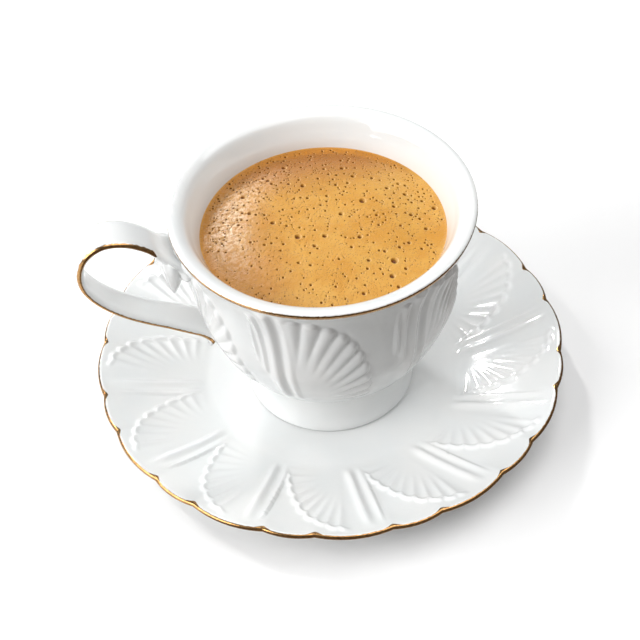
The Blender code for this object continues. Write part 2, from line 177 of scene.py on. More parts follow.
def cornered_line(knots, spacing, arc_points=4):
    """A line through x, z, corner radius knots, with each corner rounded off."""
    line = [np.array(knots[0][:2], float)]
    for before, here, after in zip(knots, knots[1:], knots[2:]):
        corner = np.array(here[:2], float)
        back = np.array(before[:2], float) - corner
        ahead = np.array(after[:2], float) - corner
        reach = min(here[2], 0.45 * np.linalg.norm(back), 0.45 * np.linalg.norm(ahead))
        start = corner + back / np.linalg.norm(back) * reach
        end = corner + ahead / np.linalg.norm(ahead) * reach
        for step in range(arc_points + 1):
            t = step / arc_points
            line.append((1 - t) ** 2 * start + 2 * t * (1 - t) * corner + t ** 2 * end)
    line.append(np.array(knots[-1][:2], float))
    full = [line[0]]
    for start, end in zip(line, line[1:]):
        count = max(int(math.ceil(np.linalg.norm(end - start) / spacing)), 1)
        full += [start + (end - start) * (step + 1) / count for step in range(count)]
    return np.array(full)


def chain(*lines):
    """Lines joined end to start, without the points that they share."""
    points = [tuple(point) for line in lines for point in line]
    return [point for point, last in zip(points, [None] + points[:-1])
            if last is None or math.dist(point, last) > 0.02]


# relief, in millimetres

def fan_coordinates(across, along, width, height, lobes, power, scallop):
    """Lobe number, place across it, distance inside the scalloped edge, reach from the hinge."""
    x = np.maximum(across, 0.0) / width
    y = np.maximum(along, 0.0) / height
    reach = (x ** power + y ** power) ** (1.0 / power)
    turn = np.arctan2(x, y)
    table = np.linspace(0.0, math.pi / 2.0, 91)
    step = np.hypot(width * np.cos(table), height * np.sin(table))
    length = np.concatenate(([0.0], np.cumsum((step[1:] + step[:-1]) / 2.0)))
    phase = np.interp(turn, table, length / length[-1]) * lobes
    lobe = 2.0 * (phase - np.floor(phase)) - 1.0
    bulge = np.sqrt(np.maximum(1.0 - lobe ** 2, 0.0))
    edge = 1.0 - scallop * (1.0 - bulge)
    distance = (edge - reach) * np.hypot(across, along) / np.maximum(reach, 0.05)
    return lobe, distance, reach


def cup_relief(angle, z):
    """Height of the cup's relief over its plain wall, from 0 to 1."""
    period = 2.0 * math.pi / CUP_MOTIFS
    around = wrap(angle - CUP_HINGE_ANGLE - period / 4.0, period) + period / 4.0
    across = around * 40.0
    along = z - CUP_HINGE_Z
    lobe, distance, reach = fan_coordinates(
        across, along, CUP_FAN_WIDTH, CUP_FAN_HEIGHT, CUP_FAN_LOBES, 2.25, 0.06)
    valley = 0.8 * ramp(reach, 0.42, 0.84)
    petal = (1.0 - valley * lobe ** 2) * (0.3 + 0.7 * np.clip(reach, 0.0, 1.0) ** 1.3)
    end = np.sqrt(np.clip(distance / 1.5, 0.0, 1.0))
    fan = petal * end * ramp(across, -0.6, 0.8)
    lean = along / CUP_FAN_HEIGHT
    crest = -3.4 - 0.4 * lean
    ridge_1 = bell(across, crest, np.where(across < crest, 2.4, 1.35))
    ridge_2 = 0.75 * bell(across, 0.9, 1.7)
    fingers = np.zeros_like(across)
    for rank in range(3):
        centre = -7.0 - 1.7 * rank - (1.3 + 2.1 * rank) * np.maximum(lean, 0.0) ** 2.2
        tip = CUP_FAN_HEIGHT * (0.98 - 0.06 * rank)
        start = CUP_FAN_HEIGHT * (0.25 + 0.13 * rank)
        span = ramp(along, start, start + 9.0) * (1.0 - ramp(along, tip - 3.0, tip))
        fingers = np.maximum(fingers, 0.75 * bell(across, centre, 1.25) * span)
    height = np.maximum(np.maximum(fan, ridge_1), np.maximum(ridge_2, fingers))
    return height * ramp(z, 25.0, 35.0) * (1.0 - ramp(z, 74.2, 76.4))


def saucer_relief(angle, radius):
    """Height of the saucer's relief over its plain flange, from 0 to 1."""
    period = 2.0 * math.pi / SAUCER_MOTIFS
    around = wrap(SAUCER_HINGE_ANGLE - angle - period / 4.0, period) + period / 4.0
    across = around * radius
    along = radius - SAUCER_HINGE_RADIUS
    lobe, distance, reach = fan_coordinates(
        across, along, SAUCER_FAN_WIDTH, SAUCER_FAN_HEIGHT, SAUCER_FAN_LOBES, 2.35, 0.075)
    cord = bell(distance, 1.1, 1.0)
    inside = ramp(distance, 0.6, 2.2)
    rib = 0.6 * ramp(reach, 0.35, 0.85) * np.abs(lobe) ** 1.7
    ribs = (0.28 + rib) * np.clip(reach, 0.0, 1.0) * inside
    fan = np.maximum(cord, ribs) * ramp(across, 0.5, 3.0)
    slope = along / SAUCER_FAN_HEIGHT
    ridge_1 = bell(across, -1.0 - 4.2 * slope, 1.3)
    ridge_2 = 0.75 * bell(across, -4.6 - 5.6 * slope, 1.4)
    ridges = np.maximum(ridge_1, ridge_2) * (1.0 - ramp(radius, 64.0, 73.4))
    height = np.maximum(fan, ridges)
    return height * ramp(radius, 41.0, 47.0) * (1.0 - ramp(radius, 70.8, 73.6))


def rim_scallop(angle):
    """How far the saucer's edge is drawn in at an angle: two lobes to each motif."""
    along = np.mod(angle, WIDE_LOBE + NARROW_LOBE)
    narrow = along < NARROW_LOBE
    half = np.where(narrow, NARROW_LOBE, WIDE_LOBE) / 2.0
    centre = np.where(narrow, NARROW_LOBE / 2.0, NARROW_LOBE + WIDE_LOBE / 2.0)
    offset = np.abs(along - centre) / half
    return NOTCH_DEPTH * (1.0 - np.where(narrow, 0.75, 1.0) * (1.0 - offset ** 2))


def flange_z(radius):
    """Plain top of the saucer, from its well out to its edge."""
    t = np.clip((radius - SAUCER_WELL_RADIUS) / (SAUCER_RADIUS - SAUCER_WELL_RADIUS), 0.0, 1.0)
    return SAUCER_WELL_Z + (SAUCER_RIM_Z - SAUCER_WELL_Z) * t ** SAUCER_FLANGE_POWER


def wall_radius(z):
    """Plain outer wall of the cup's bowl."""
    line = smooth_line(CUP_WALL, 0.5)[::-1]
    return np.interp(z, line[:, 1], line[:, 0])


# meshes

def vertex_array(mesh):
    """The mesh's points in millimetres."""
    flat = np.empty(len(mesh.vertices) * 3)
    mesh.vertices.foreach_get("co", flat)
    return flat.reshape(-1, 3) / MM


def set_vertices(mesh, points):
    """Move the mesh's points to places in millimetres."""
    mesh.vertices.foreach_set("co", (points * MM).ravel())
    mesh.update()


def set_attribute(mesh, name, values):
    layer = mesh.attributes.get(name) or mesh.attributes.new(name, "FLOAT", "POINT")
    layer.data.foreach_set("value", np.asarray(values, np.float32))


def new_mesh(name, bm):
    mesh = bpy.data.meshes.new(name)
    bm.to_mesh(mesh)
    bm.free()
    return mesh


def turned(name, profile, steps, sectors):
    """A closed body turned about Z from its profile: one sector, then its copies."""
    bm = bmesh.new()
    corners = [bm.verts.new((radius * MM, 0.0, z * MM)) for radius, z in profile]
    for start, end in zip(corners, corners[1:]):
        bm.edges.new((start, end))
    about = {"cent": (0.0, 0.0, 0.0), "axis": (0.0, 0.0, 1.0), "dvec": (0.0, 0.0, 0.0)}
    sector = 2.0 * math.pi / sectors
    bmesh.ops.spin(bm, geom=bm.verts[:] + bm.edges[:], angle=sector, steps=steps // sectors,
                   **about)
    bmesh.ops.spin(bm, geom=bm.verts[:] + bm.edges[:] + bm.faces[:], angle=2.0 * math.pi - sector,
                   steps=sectors - 1, use_duplicate=True, **about)
    bmesh.ops.remove_doubles(bm, verts=bm.verts, dist=0.000005)
    bmesh.ops.recalc_face_normals(bm, faces=bm.faces)
    return new_mesh(name, bm)


def tube(name, columns, rows, place):
    """A capped tube from a grid: place(turn, along) gives its points."""
    bm = bmesh.new()
    bmesh.ops.create_grid(bm, x_segments=columns, y_segments=rows, size=0.5)
    mesh = new_mesh(name, bm)
    grid = vertex_array(mesh) * MM + 0.5
    set_vertices(mesh, place(grid[:, 0] * 2.0 * math.pi, grid[:, 1]))
    bm = bmesh.new()
    bm.from_mesh(mesh)
    bmesh.ops.remove_doubles(bm, verts=bm.verts, dist=0.000001)
    bmesh.ops.holes_fill(bm, edges=bm.edges, sides=0)
    bmesh.ops.recalc_face_normals(bm, faces=bm.faces)
    bm.to_mesh(mesh)
    bm.free()
    return mesh


def finished(name, mesh, node, material):
    """The object of a finished mesh, smooth, riding on the part and standing for its node."""
    mesh.materials.clear()
    mesh.materials.append(material)
    mesh.shade_smooth()
    item = bpy.data.objects.new(name, mesh)
    bpy.context.scene.collection.objects.link(item)
    item.matrix_world = Matrix.Identity(4)
    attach(item, "root")
    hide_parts(node)
    return item


# materials

GLAZE_IOR = 1.6
GLAZE_RIPPLE = 0.22 * MM
GILT_THICKNESS = 0.04 * MM
FROTH_IOR = 1.45
FROTH_GRAIN = 0.30 * MM


class Port:
    """A node's output socket. Arithmetic on it adds Math nodes."""

    def __init__(self, graph, socket):
        self.graph = graph
        self.socket = socket

    def math(self, operation, *values):
        inputs = dict(enumerate(values))
        return self.graph.node("ShaderNodeMath", {"operation": operation}, inputs)

    def __add__(self, other):
        return self.math("ADD", self, other)

    def __radd__(self, other):
        return self.math("ADD", other, self)

    def __sub__(self, other):
        return self.math("SUBTRACT", self, other)

    def __rsub__(self, other):
        return self.math("SUBTRACT", other, self)

    def __mul__(self, other):
        return self.math("MULTIPLY", self, other)

    def __rmul__(self, other):
        return self.math("MULTIPLY", other, self)

    def step(self, low, high):
        """Smooth step from 0 at low to 1 at high."""
        return self.graph.node("ShaderNodeMapRange", {"interpolation_type": "SMOOTHSTEP"},
                               {"Value": self, 1: low, 2: high, 3: 0.0, 4: 1.0})


class Graph:
    """A material's node tree."""

    def __init__(self, name):
        self.material = bpy.data.materials.new(name)
        self.material.use_nodes = True
        self.tree = self.material.node_tree
        self.shader = self.tree.nodes["Principled BSDF"]

    def node(self, kind, settings=None, inputs=None, output=0):
        node = self.tree.nodes.new(kind)
        for key, value in (settings or {}).items():
            setattr(node, key, value)
        for key, value in (inputs or {}).items():
            self.feed(node.inputs[key], value)
        return Port(self, node.outputs[output])

    def feed(self, socket, value):
        if isinstance(value, Port):
            self.tree.links.new(value.socket, socket)
        elif isinstance(value, tuple) and len(value) == 3 and socket.type == "RGBA":
            socket.default_value = (*value, 1.0)
        else:
            socket.default_value = value

    def place(self):
        return self.node("ShaderNodeTexCoord", output="Object")

    def attribute(self, name):
        return self.node("ShaderNodeAttribute", {"attribute_name": name}, output="Fac")

    def noise(self, place, scale, detail=3.0, roughness=0.55):
        inputs = {"Vector": place, "Scale": scale, "Detail": detail, "Roughness": roughness}
        return self.node("ShaderNodeTexNoise", {}, inputs)

    def cells(self, place, scale):
        """Distance to the middle of the nearest cell."""
        return self.node("ShaderNodeTexVoronoi", {}, {"Vector": place, "Scale": scale})

    def mix(self, share, first, second):
        """Colour between first and second."""
        return self.node("ShaderNodeMix", {"data_type": "RGBA"}, {0: share, 6: first, 7: second},
                         output=2)

    def bump(self, height, distance, strength=1.0, normal=None):
        inputs = {"Height": height, "Distance": distance, "Strength": strength}
        if normal is not None:
            inputs["Normal"] = normal
        return self.node("ShaderNodeBump", {}, inputs)

    def finish(self, **sockets):
        for name, value in sockets.items():
            self.feed(self.shader.inputs[name.replace("_", " ")], value)
        return self.material


def glazed_porcelain(name, settings):
    """White glaze over relief, with gilding where the gilt attribute is above zero."""
    graph = Graph(name)
    place = graph.place()
    relief = graph.attribute("relief")
    cloud = graph.noise(place, 60.0, 4.0)
    fine = graph.noise(place, 700.0, 3.0)
    glaze = graph.mix(cloud.step(0.3, 0.7), tuple(settings.glaze_cool), tuple(settings.glaze_warm))
    # Darker glaze off the raised relief: glaze pooled in the hollows, and painted shade there.
    pooled_and_shaded = graph.mix((1.0 - relief.step(0.0, 0.6)) * 0.2, glaze, tuple(settings.glaze_pool_and_shade))
    edge = graph.attribute("gilt") + (graph.noise(place, 900.0, 2.0) - 0.5) * 0.35
    gilt = edge.step(-0.08, 0.08)
    brush = graph.noise(place, 1400.0, 4.0, 0.7)
    gold = graph.mix(brush.step(0.3, 0.75), tuple(settings.gold_deep), tuple(settings.gold_bright))
    surface = graph.bump(cloud * 0.6 + fine * 0.05, GLAZE_RIPPLE)
    layer = graph.bump(gilt * 0.6 + brush * gilt * 0.4, GILT_THICKNESS, normal=surface)
    return graph.finish(
        Base_Color=graph.mix(gilt, pooled_and_shaded, gold),
        Metallic=gilt,
        Roughness=(0.05 + fine * 0.05) * (1.0 - gilt) + (0.13 + brush * 0.14) * gilt,
        IOR=GLAZE_IOR,
        Normal=layer)


def foamed_tea(name, settings):
    """Milk tea under a fine froth, darker where a bubble has opened it, with painted shade at the
    far side and by the handle, painted shade and highlights on the bubbles, and a painted sheen by
    the handle.
    """
    graph = Graph(name)
    place = graph.place()
    pit = graph.attribute("pit")
    axis = graph.attribute("from_axis")
    painted_shade_side = graph.attribute("painted_shade_side")
    cloud = graph.noise(place, 55.0, 3.0, 0.6)
    mottle = graph.noise(place, 260.0, 4.0, 0.6)
    grit = graph.noise(place, 850.0, 2.0, 0.5)
    small = graph.cells(place, 1500.0)
    tiny = graph.cells(place, 5200.0)
    wet = graph.attribute("wet")
    froth = graph.mix((cloud * 0.6 + mottle * 0.4).step(0.35, 0.65),
                      tuple(settings.foam), tuple(settings.foam_pale))
    # Painted shade: the froth darker at the far side and towards the handle.
    froth = graph.mix(painted_shade_side * 0.8, froth, tuple(settings.froth_painted_shade))
    froth = graph.mix(axis.step(33.0, 35.4) * painted_shade_side.step(0.2, 0.8) * 0.75, froth,
                      tuple(settings.tea_band))
    froth = graph.mix(axis.step(36.2, 37.0) * 0.6, froth, tuple(settings.foam_pale))
    holes = (1.0 - small.step(0.12, 0.36)) * mottle.step(0.38, 0.6)
    grain = 1.0 - tiny.step(0.05, 0.45)
    froth = graph.mix(holes * 0.6 + grain * 0.2, froth, tuple(settings.tea_deep))
    flecks = (1.0 - small.step(0.05, 0.22)) * cloud.step(0.45, 0.7)
    froth = graph.mix(flecks * 0.3, froth, tuple(settings.foam_fleck))
    # Painted sheen: whitish froth where the surface is glossier by the handle.
    froth = graph.mix(wet * (0.3 + grit.step(0.42, 0.60) * 0.7) * 0.6, froth,
                      tuple(settings.froth_painted_sheen))
    # Pale rim round each bubble, with painted highlight on its side towards the light.
    froth = graph.mix(graph.attribute("bubble_rim_and_highlight") * 0.85, froth, tuple(settings.foam_fleck))
    # Dark tea in open bubbles, with painted shade on their side away from the light.
    colour = graph.mix(pit, froth, tuple(settings.tea_deep))
    height = (small.step(0.0, 0.5) * 0.45 + tiny.step(0.0, 0.6) * 0.15 + grit * 0.8) * (1.0 - pit)
    return graph.finish(
        Base_Color=colour,
        Roughness=(0.34 - wet * 0.22) * (1.0 - pit) + 0.10 * pit,
        IOR=FROTH_IOR,
        Normal=graph.bump(height, FROTH_GRAIN))


# settings

def length(name, description, value):
    """A length property, its value given in millimetres."""
    return FloatProperty(name=name, description=description, default=value * MM, unit="LENGTH",
                         precision=5)


def colour(name, description, value):
    return FloatVectorProperty(name=name, description=description, size=3, subtype="COLOR",
                               default=value, min=0.0, max=1.0)


class CupSettings(bpy.types.PropertyGroup):
    steps: IntProperty(name="Steps", description="Steps round the cup's body", default=504, min=60)
    relief: length("Relief", "Height of the cup's moulded relief", 1.15)
    gilt: length("Gilt band", "Half width of the gold line under the lip", 0.78)
    strap_width: length("Strap width", "Half width of the handle's strap", 5.5)
    strap_depth: length("Strap depth", "Half thickness of the handle's strap", 1.6)


class SaucerSettings(bpy.types.PropertyGroup):
    steps: IntProperty(name="Steps", description="Steps round the saucer", default=720, min=60)
    relief: length("Relief", "Height of the saucer's moulded relief", 0.9)
    gilt: length("Gilt edge", "Width of the gold on the saucer's edge", 0.9)


class DrinkSettings(bpy.types.PropertyGroup):
    level: length("Level", "Height of the drink over the table", 68.3)
    crown: length("Crown", "How far the froth stands up in the middle", 2.3)
    small_bubbles: IntProperty(name="Small bubbles",
                               description="Number of small scattered bubbles", default=820, min=0)
    seed: IntProperty(name="Seed", description="Seed of the scattered bubbles", default=5)


class FinishSettings(bpy.types.PropertyGroup):
    glaze_warm: colour("Glaze", "White of the glaze", (0.79, 0.79, 0.78))
    glaze_cool: colour("Glaze, cool", "Cooler patches of the glaze", (0.76, 0.775, 0.775))
    # Pooled glaze colour, which also paints shade off the raised relief.
    glaze_pool_and_shade: colour("Glaze, pooled", "Glaze gathered in hollows, with painted shade", (0.70, 0.725, 0.72))
    gold_bright: colour("Gold", "Bright gold of the gilding", (0.64, 0.38, 0.15))
    gold_deep: colour("Gold, deep", "Deeper gold of the gilding", (0.30, 0.15, 0.06))
    foam: colour("Froth", "Colour of the froth", (0.56, 0.255, 0.026))
    foam_pale: colour("Froth, pale", "Paler patches of the froth", (0.63, 0.335, 0.060))
    foam_fleck: colour("Froth, flecks", "Palest flecks of the froth", (0.86, 0.58, 0.25))
    # Colour of the painted sheen on the froth by the handle.
    froth_painted_sheen: colour("Froth, painted sheen", "Painted whitish sheen on the froth by the handle", (0.88, 0.70, 0.50))
    # Colour of the painted shade on the froth at the far side and by the handle.
    froth_painted_shade: colour("Froth, painted shade", "Painted shade on the froth at the far side and by the handle", (0.30, 0.090, 0.007))
    tea_band: colour("Clear edge", "Tea that shows at the cup's wall", (0.52, 0.20, 0.012))
    tea_deep: colour("Open bubbles", "Tea seen in open bubbles", (0.15, 0.040, 0.007))


# pieces

def saucer_profile():
    """Half section of the saucer, from the middle of its well round to the middle below."""
    top = [(radius, float(flange_z(radius))) for radius in np.linspace(38.0, 74.4, 72)]
    edge_z = top[-1][1]
    well = [(radius, SAUCER_WELL_Z) for radius in np.linspace(0.0, 34.0, 5)]
    edge = smooth_line(((74.4, edge_z), (75.05, edge_z - 0.25), (75.3, edge_z - 0.95),
                        (74.95, edge_z - 1.7), (72.0, float(flange_z(72.0)) - 2.3)), 0.5)
    under = smooth_line([(radius, float(flange_z(radius)) - depth) for radius, depth in
                         ((72.0, 2.3), (66.0, 2.7), (58.0, 3.0), (50.0, 3.2))], 3.0)
    foot = cornered_line((tuple(under[-1]) + (0.0,), (44.1, 1.7, 1.2), (43.2, 0.0, 0.6),
                          (40.2, 0.0, 0.6), (39.4, 1.2, 0.8), (0.0, 1.2, 0.0)), 14.0, 3)
    return chain(well, top, edge, under, foot)


class TEACUP_OT_saucer(bpy.types.Operator):
    """Make the saucer, with its moulded shells, scalloped edge and gilding"""
    bl_idname = "teacup.saucer"
    bl_label = "Saucer"

    def execute(self, context):
        settings = context.scene.teacup_saucer
        mesh = turned("saucer_dish", saucer_profile(), settings.steps, 12)
        points = vertex_array(mesh)
        radius = np.hypot(points[:, 0], points[:, 1])
        angle = np.arctan2(points[:, 1], points[:, 0])
        top = (points[:, 2] > flange_z(radius) - 0.4) & (radius > 39.0)
        height = np.where(top, saucer_relief(angle, radius), 0.0)
        scallop = rim_scallop(angle)
        notch = ramp(scallop, 0.55 * NOTCH_DEPTH, NOTCH_DEPTH)
        width = settings.gilt / MM * (0.75 + 0.9 * notch)
        underneath = points[:, 2] < flange_z(np.minimum(radius, 74.4)) - 0.6
        inset = SAUCER_RADIUS - radius
        gilt = np.where(underneath, 1.0 - inset, width - inset)
        points[:, 2] += height * settings.relief / MM
        drawn_in = scallop * ramp(radius, 62.0, 74.0)
        scale = 1.0 - drawn_in / np.maximum(radius, 1.0)
        points[:, 0] *= scale
        points[:, 1] *= scale
        set_vertices(mesh, points)
        set_attribute(mesh, "relief", height)
        set_attribute(mesh, "gilt", np.clip(gilt, -3.0, 3.0))
        material = glazed_porcelain("saucer_porcelain", context.scene.teacup_finish)
        finished("saucer_dish", mesh, "saucer", material)
        return {"FINISHED"}


def cup_profile():
    """Half section of the cup's body, from its floor over the lip to the middle of its foot."""
    inner = smooth_line(CUP_INSIDE[:7], 4.0)
    lip = smooth_line(CUP_INSIDE[6:], 0.5)
    wall = smooth_line((CUP_INSIDE[-1],) + CUP_WALL + (CUP_STEM[0],), 0.5)
    stem = smooth_line(CUP_STEM, 1.2)
    foot = cornered_line(CUP_FOOT, 8.0, 3)
    return chain(inner, lip, wall, stem, foot)


class TEACUP_OT_body(bpy.types.Operator):
    """Make the cup's body, with its moulded shells, foot and gilded lip"""
    bl_idname = "teacup.body"
    bl_label = "Cup body"

    def execute(self, context):
        settings = context.scene.teacup_cup
        mesh = turned("cup_body", cup_profile(), settings.steps, 12)
        points = vertex_array(mesh)
        radius = np.hypot(points[:, 0], points[:, 1])
        angle = np.arctan2(points[:, 1], points[:, 0])
        z = points[:, 2]
        outside = (radius > wall_radius(z) - 0.5) & (z > 24.0) & (z < 76.4)
        height = np.where(outside, cup_relief(angle, z), 0.0)
        lean = (wall_radius(z + 0.5) - wall_radius(z - 0.5)) * outside
        push = height * settings.relief / MM / np.hypot(1.0, lean)
        gilt = settings.gilt / MM - np.hypot(radius - CUP_GILT[0], z - CUP_GILT[1])
        points[:, 0] += np.cos(angle) * push
        points[:, 1] += np.sin(angle) * push
        points[:, 2] -= lean * push
        set_vertices(mesh, points)
        set_attribute(mesh, "relief", height)
        set_attribute(mesh, "gilt", np.clip(gilt, -3.0, 3.0))
        material = glazed_porcelain("cup_porcelain", context.scene.teacup_finish)
        finished("cup_body", mesh, "cup", material)
        return {"FINISHED"}


class TEACUP_OT_handle(bpy.types.Operator):
    """Make the looped strap handle, gilded along its edges, and the leaf under it"""
    bl_idname = "teacup.handle"
    bl_label = "Handle"

    def execute(self, context):
        settings = context.scene.teacup_cup
        material = bpy.data.materials.get("cup_porcelain")
        if material is None:
            raise RuntimeError("the cup's body is made before its handle")
        line = smooth_line(STRAP_KNOTS, 0.6)
        tangent = np.gradient(line, axis=0)
        tangent /= np.linalg.norm(tangent, axis=1)[:, None]
        half_width = settings.strap_width / MM
        half_depth = settings.strap_depth / MM
        rows = np.linspace(0.0, 1.0, len(line))

        def strap(turn, along):
            x, z = (np.interp(along, rows, line[:, k]) for k in range(2))
            tx, tz = (np.interp(along, rows, tangent[:, k]) for k in range(2))
            clear = np.clip((x - wall_radius(z) - 0.3) / 3.2, 0.0, 1.0)
            fillet = 1.0 - np.sqrt(1.0 - (1.0 - clear) ** 2)
            flare = ramp(x, 53.0, 43.0) * np.where(z > 60.0, 0.35, 0.12)
            width = half_width * (1.0 + flare) + 2.0 * fillet
            depth = half_depth + 2.2 * fillet
            y = np.sign(np.cos(turn)) * np.abs(np.cos(turn)) ** 0.6 * width
            rise = np.sign(np.sin(turn)) * np.abs(np.sin(turn)) ** 0.9 * depth
            rise -= 0.22 * half_depth * np.clip(1.0 - (y / width) ** 2, 0.0, 1.0) * np.sign(rise)
            return np.stack((x - tz * rise, y, z + tx * rise), axis=1)

        mesh = tube("handle_strap", 40, len(line), strap)
        points = vertex_array(mesh)
        spot = np.argmin(np.hypot(points[:, None, 0] - line[None, :, 0],
                                  points[:, None, 2] - line[None, :, 1]), axis=1)
        side = points[:, (0, 2)] - line[spot]
        rise = -side[:, 0] * tangent[spot, 1] + side[:, 1] * tangent[spot, 0]
        at_edge = np.abs(points[:, 1]) > 0.72 * half_width
        gilt = np.where(at_edge, 0.6 - np.abs(rise - 0.3), -2.0)
        upper_root = (points[:, 2] > 66.0) * ramp(points[:, 0], 51.0, 48.5)
        gilt -= 3.0 * upper_root
        set_attribute(mesh, "relief", np.ones(len(points)))
        set_attribute(mesh, "gilt", gilt)
        finished("handle_strap", mesh, "cup", material)

        leaf = smooth_line(LEAF, 0.45)
        leaf_rows = np.linspace(0.0, 1.0, len(leaf))

        def tongue(turn, along):
            x, z, depth, width = (np.interp(along, leaf_rows, leaf[:, k]) for k in range(4))
            across = np.cos(turn)
            ribs = 1.0 - 0.16 * bell(np.abs(across), 0.42, 0.16) + 0.10 * bell(across, 0.0, 0.2)
            out = x + np.sin(turn) * depth * ribs
            under_strap = np.interp(out, line[:20, 0], line[:20, 1]) + 0.4
            return np.stack((out, across * width, np.minimum(z, under_strap)), axis=1)

        mesh = tube("handle_leaf", 48, len(leaf), tongue)
        set_attribute(mesh, "relief", np.ones(len(mesh.vertices)))
        set_attribute(mesh, "gilt", np.full(len(mesh.vertices), -2.0))
        finished("handle_leaf", mesh, "cup", material)
        return {"FINISHED"}


def scattered_bubbles(count, seed):
    """The larger bubbles and count smaller ones between them: x, y, radius."""
    source = np.random.default_rng(seed)
    bubbles = [tuple(row) for row in BUBBLES]
    tries = 0
    while len(bubbles) < len(BUBBLES) + count and tries < 60 * count:
        tries += 1
        angle = source.uniform(0.0, 2.0 * math.pi)
        reach = 35.8 * math.sqrt(source.uniform(0.0, 1.0))
        x, y = reach * math.cos(angle), reach * math.sin(angle)
        radius = 0.19 + 0.27 * source.uniform(0.0, 1.0) ** 2.0
        crowd = 0.35 + 0.65 * max(0.0, min(1.0, (8.0 - y) / 34.0 + max(0.0, -x) / 60.0))
        if source.uniform(0.0, 1.0) > crowd:
            continue
        if all(math.hypot(x - a, y - b) > 1.25 * (radius + c) for a, b, c in bubbles):
            bubbles.append((x, y, radius))
    return np.array(bubbles)


def nearest_bubble(points, bubbles):
    """For each point, the distance to the closest bubble's middle in its radii, and its number."""
    scale = np.full(len(points), 99.0)
    number = np.zeros(len(points), int)
    for index, (x, y, size) in enumerate(bubbles):
        gap = np.hypot(points[:, 0] - x, points[:, 1] - y) / size
        closer = gap < scale
        scale[closer] = gap[closer]
        number[closer] = index
    return scale, number


def slope_share(t):
    """How far the froth has fallen from its flat middle, at t of the way to the wall."""
    line = np.linspace(0.0, 1.0, 101)
    slope = ramp(line, 0.48, 0.74) * (1.0 - 0.95 * ramp(line, 0.88, 0.99))
    fall = np.cumsum(slope)
    return np.interp(t, line, fall / fall[-1])


class TEACUP_OT_milk_tea(bpy.types.Operator):
    """Make the drink, with its froth and open bubbles"""
    bl_idname = "teacup.milk_tea"
    bl_label = "Milk tea"

    def execute(self, context):
        settings = context.scene.teacup_drink
        bubbles = scattered_bubbles(settings.small_bubbles, settings.seed)
        bm = bmesh.new()
        bmesh.ops.create_grid(bm, x_segments=132, y_segments=132, size=1.0)
        for vertex in bm.verts:
            x, y = vertex.co.x, vertex.co.y
            vertex.co = (x * math.sqrt(1.0 - y * y / 2.0) * TEA_RADIUS * MM,
                         y * math.sqrt(1.0 - x * x / 2.0) * TEA_RADIUS * MM, 0.0)
        for margin in (0.45, 0.16):
            edges = bm.edges[:]
            middle = np.array([(edge.verts[0].co + edge.verts[1].co)[:2] for edge in edges])
            middle *= 0.5 / MM
            scale, number = nearest_bubble(middle, bubbles)
            radius = bubbles[number, 2]
            near = scale * radius < radius + margin
            bmesh.ops.subdivide_edges(bm, edges=[edges[k] for k in np.flatnonzero(near)], cuts=1,
                                      use_grid_fill=True)
        surface = bm.verts[:]
        edge = [item for item in bm.edges if item.is_boundary]
        for radius, z in TEA_SIDE:
            made = bmesh.ops.extrude_edge_only(bm, edges=edge)["geom"]
            edge = [item for item in made
                    if isinstance(item, bmesh.types.BMEdge) and item.is_boundary]
            for vertex in (item for item in made if isinstance(item, bmesh.types.BMVert)):
                flat = Vector((vertex.co.x, vertex.co.y))
                flat = flat.normalized() * radius * MM if flat.length > 0.0 else flat
                vertex.co = (flat.x, flat.y, z * MM)
        count = len(surface)
        bm.verts.index_update()
        mesh = new_mesh("milk_tea", bm)
        points = vertex_array(mesh)
        top = points[:count]
        reach = np.hypot(top[:, 0], top[:, 1])
        scale, number = nearest_bubble(top, bubbles)
        nearest = bubbles[number]
        radius = nearest[:, 2]
        t = np.clip(reach / TEA_RADIUS, 0.0, 1.0)
        crown = settings.crown / MM * (1.0 - slope_share(t))
        meniscus = 0.45 * np.exp(-(TEA_RADIUS - reach) / 0.6)
        depth = 0.85 * radius * np.sqrt(np.clip(1.0 - scale ** 2, 0.0, 1.0))
        lip = 0.10 * radius * bell(scale, 1.12, 0.16)
        rise = crown - 0.35 * settings.crown / MM + meniscus - depth + lip
        top[:, 2] = settings.level / MM + rise
        points[:count] = top
        set_vertices(mesh, points)
        pit = np.zeros(len(points))
        # The dark tea in each open bubble is painted off-centre, as painted shade on its side away
        # from the light.
        shaded = bubbles + bubbles[:, 2:] * np.array((0.24, -0.14, 0.0))
        pit[:count] = (1.0 - ramp(nearest_bubble(top, shaded)[0], 0.35, 0.95)) * (scale < 1.0)
        # Pale rim round each bubble, brighter on one side as a painted highlight.
        lit = (0.62 * (top[:, 1] - nearest[:, 1]) - 0.78 * (top[:, 0] - nearest[:, 0])) / radius
        rim = np.zeros(len(points))
        rim[:count] = bell(scale, 0.92, 0.26) * np.clip(0.25 + 0.75 * lit, 0.0, 1.0)
        axis = np.hypot(points[:, 0], points[:, 1])
        set_attribute(mesh, "pit", pit)
        set_attribute(mesh, "bubble_rim_and_highlight", rim)
        set_attribute(mesh, "from_axis", axis)
        # Painted shade on the froth: darker towards the far side and towards the handle.
        far = 0.95 * ramp(points[:, 1], -9.0, -30.0)
        handle_side_shade = 0.6 * ramp(points[:, 0], 6.0, 27.0)
        set_attribute(mesh, "painted_shade_side", np.maximum(far, handle_side_shade))
        turn = np.degrees(np.arctan2(points[:, 1], points[:, 0]))
        # Glossier patch by the handle; the same mask paints a whitish sheen there.
        set_attribute(mesh, "wet", bell(axis, 28.0, 6.0) * bell(turn, -20.0, 40.0))
        bm = bmesh.new()
        bm.from_mesh(mesh)
        bmesh.ops.remove_doubles(bm, verts=bm.verts, dist=0.000001)
        bmesh.ops.recalc_face_normals(bm, faces=bm.faces)
        bm.to_mesh(mesh)
        bm.free()
        material = foamed_tea("frothy_milk_tea", context.scene.teacup_finish)
        finished("milk_tea", mesh, "tea", material)
        return {"FINISHED"}


# stage

